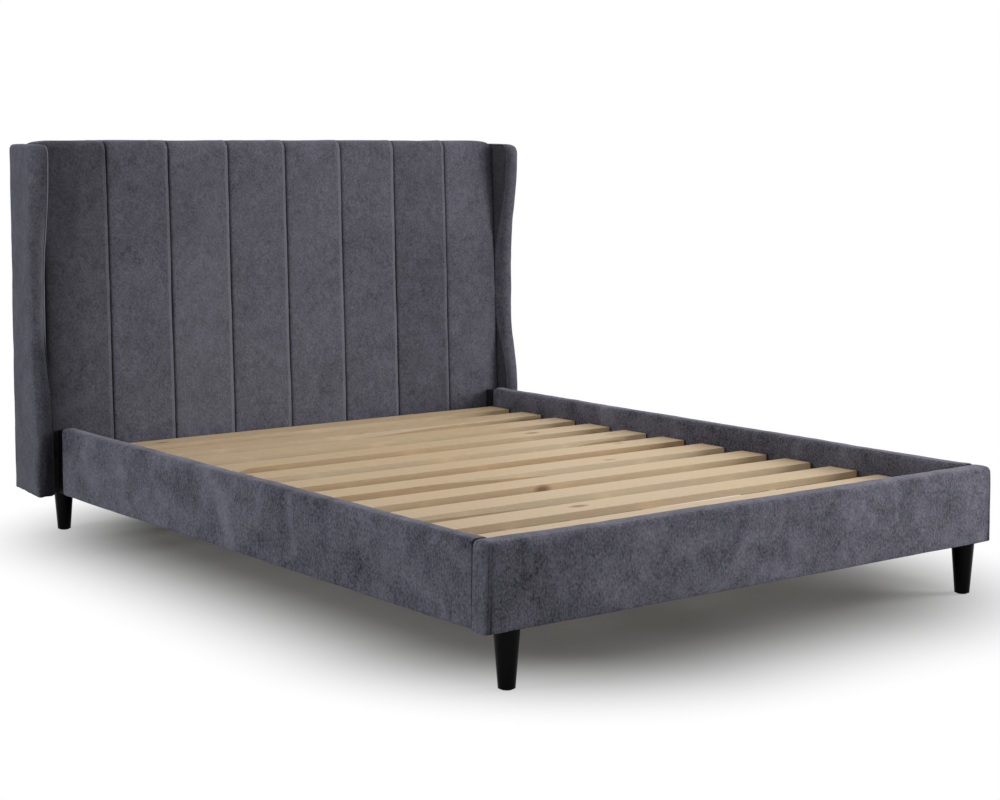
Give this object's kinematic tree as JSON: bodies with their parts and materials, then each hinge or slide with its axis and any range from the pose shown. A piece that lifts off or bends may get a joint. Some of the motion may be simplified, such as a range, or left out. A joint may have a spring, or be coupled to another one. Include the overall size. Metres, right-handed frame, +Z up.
{
  "type": "double bed frame",
  "caption": "Upholstered double bed frame: a channelled headboard between splayed padded wings, low padded rails on round tapered legs, and a slatted base on a centre beam.",
  "frame": {"origin": "on the floor under the middle of the bed", "axes": "+Y from the footboard to the headboard, +Z up, +X to the right for someone who stands at the footboard and looks at the headboard"},
  "size_m": [1.745, 2.254, 1.15],
  "materials": {
    "fabric": "brushed chenille velvet, charcoal",
    "lining": "spunbond dust cloth, black",
    "fibreboard": "hardboard, smooth",
    "pine": "planed pine, unvarnished",
    "black_pine": "planed pine, stained matt black",
    "plywood": "birch plywood, sawn",
    "black_steel": "powder coat, satin black",
    "zinc": "bright zinc plating",
    "black_plastic": "moulded polyamide, fine texture",
    "black_lacquer": "gloss black lacquer on turned wood",
    "webbing": "woven polypropylene webbing"
  },
  "bodies": {
    "frame": {"headboard_pad": "fabric", "headboard_facing_board": "fibreboard", "headboard_bolt_rail": "black_pine", "headboard_sill": "pine", "headboard_top_rail": "pine", "headboard_back_rail": "pine", "headboard_post_left": "plywood", "headboard_post_right": "plywood", "headboard_rib_left": "plywood", "headboard_rib_right": "plywood", "headboard_dust_cover": "lining", "wing_core_left": "plywood", "wing_core_right": "plywood", "wing_cover_left": "fabric", "wing_cover_right": "fabric", "side_rail_core_left": "pine", "side_rail_core_right": "pine", "side_rail_cover_left": "fabric", "side_rail_cover_right": "fabric", "rail_end_sleeves": "lining", "footboard_core": "pine", "footboard_cover": "fabric", "corner_bracket_foot_left": "black_steel", "corner_bracket_foot_right": "black_steel", "corner_bracket_head_left": "black_steel", "corner_bracket_head_right": "black_steel", "frame_bolts": "zinc", "threaded_inserts": "zinc", "slat_ledge_left": "pine", "slat_ledge_right": "pine", "wood_screws": "zinc", "centre_beam": "pine", "beam_hangers": "black_steel", "centre_leg_1": "black_steel", "centre_leg_2": "black_steel", "centre_leg_plugs": "black_plastic", "leg_foot_left": "black_lacquer", "leg_foot_right": "black_lacquer", "leg_head_left": "black_lacquer", "leg_head_right": "black_lacquer", "leg_bolts": "zinc", "leg_glides": "black_plastic", "slat_straps": "webbing", "slat_01": "pine", "slat_02": "pine", "slat_03": "pine", "slat_04": "pine", "slat_05": "pine", "slat_06": "pine", "slat_07": "pine", "slat_08": "pine", "slat_09": "pine", "slat_10": "pine", "slat_11": "pine", "slat_12": "pine"},
    "leveller_1": {"leveller_spindle_1": "zinc", "leveller_pad_1": "black_plastic"},
    "leveller_2": {"leveller_spindle_2": "zinc", "leveller_pad_2": "black_plastic"}
  },
  "joints": [
    {"name": "leveller_1_screw", "type": "slide", "parent": "frame", "child": "leveller_1", "axis": [0, 0, 1], "range_m": [0, 0.012]},
    {"name": "leveller_2_screw", "type": "slide", "parent": "frame", "child": "leveller_2", "axis": [0, 0, 1], "range_m": [0, 0.012]}
  ]
}
